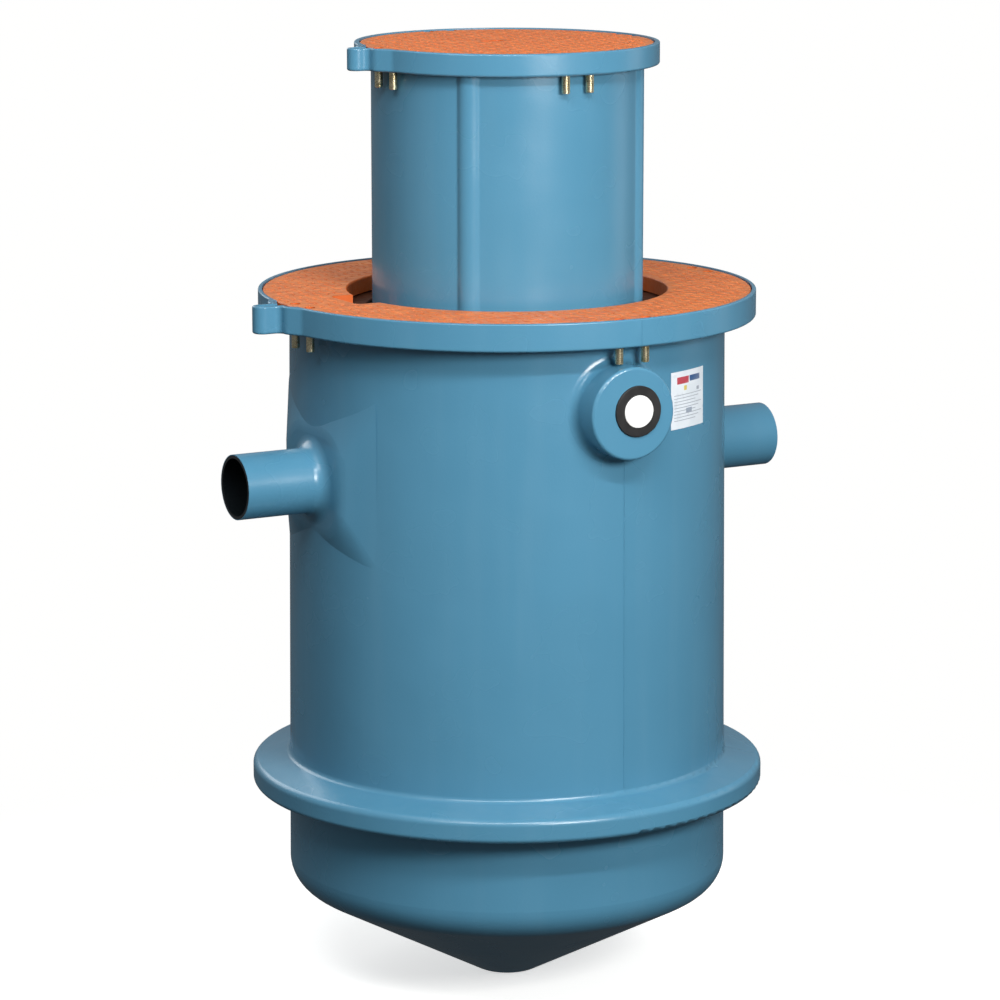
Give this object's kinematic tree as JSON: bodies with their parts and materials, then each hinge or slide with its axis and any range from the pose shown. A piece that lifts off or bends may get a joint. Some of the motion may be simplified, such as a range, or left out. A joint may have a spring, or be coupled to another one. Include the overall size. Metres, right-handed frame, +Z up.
{
  "type": "gravity separator tank",
  "caption": "Cone-bottom plastic separator tank with a collar, drain stubs, a pump-out port, and a telescoping riser with bolted covers.",
  "frame": {"origin": "centre of the small flat face under the cone, the tank's lowest point", "axes": "+Z up along the tank's axis; the inlet points to -X, the outlet to +X and the pump-out port to -Y"},
  "size_m": [1.072, 0.9177, 1.69],
  "materials": {
    "blue_shell": "satin moulded",
    "orange_cover": "fibrous, anti-slip",
    "black_rubber": "matte",
    "brass": "bright",
    "stainless": "satin",
    "adaptor_plastic": "dark, matte",
    "black_plastic": "satin",
    "white_pipe": "semi-gloss",
    "white_plug": "satin",
    "label": "semi-gloss film"
  },
  "bodies": {
    "tank": {"tank_body": "blue_shell", "lower_inserts": "brass", "lower_cover_gasket": "black_rubber", "riser_adaptor": "adaptor_plastic", "adaptor_gasket": "black_rubber", "adaptor_screws": "stainless", "riser_seal": "black_rubber", "riser_lock_screws": "stainless", "pump_out_grommet": "black_rubber", "pump_out_elbow": "white_pipe", "pump_out_down_pipe": "white_pipe", "pump_out_lower_bend": "white_pipe", "pump_out_tail_pipe": "white_pipe", "pump_out_foot": "white_pipe", "pump_out_bracket": "black_plastic", "inlet_tee": "white_pipe", "inlet_flow_plate": "white_pipe", "inlet_drop_pipe": "white_pipe", "inlet_diffuser": "black_plastic", "inlet_bracket": "black_plastic", "outlet_tee": "white_pipe", "outlet_drop_pipe": "white_pipe", "outlet_bracket": "black_plastic", "tank_label": "label"},
    "ring_cover": {"lower_cover": "orange_cover", "lower_cover_bolts": "stainless", "lower_cover_washers": "stainless"},
    "riser": {"riser": "blue_shell", "upper_inserts": "brass", "upper_cover_gasket": "black_rubber"},
    "round_cover": {"upper_cover": "orange_cover", "upper_lift_pin": "stainless", "upper_cover_bolts": "stainless", "upper_cover_washers": "stainless"},
    "plug": {"pump_out_plug": "white_plug"}
  },
  "joints": [
    {"name": "ring_cover_lift", "type": "slide", "parent": "tank", "child": "ring_cover", "axis": [0, 0, 1], "range_m": [0, 0.35]},
    {"name": "riser_lower", "type": "slide", "parent": "tank", "child": "riser", "axis": [0, 0, -1], "range_m": [0, 0.39]},
    {"name": "round_cover_lift", "type": "slide", "parent": "riser", "child": "round_cover", "axis": [0, 0, 1], "range_m": [0, 0.35]},
    {"name": "plug_pull", "type": "slide", "parent": "tank", "child": "plug", "axis": [0, -1, 0], "range_m": [0, 0.08]}
  ]
}
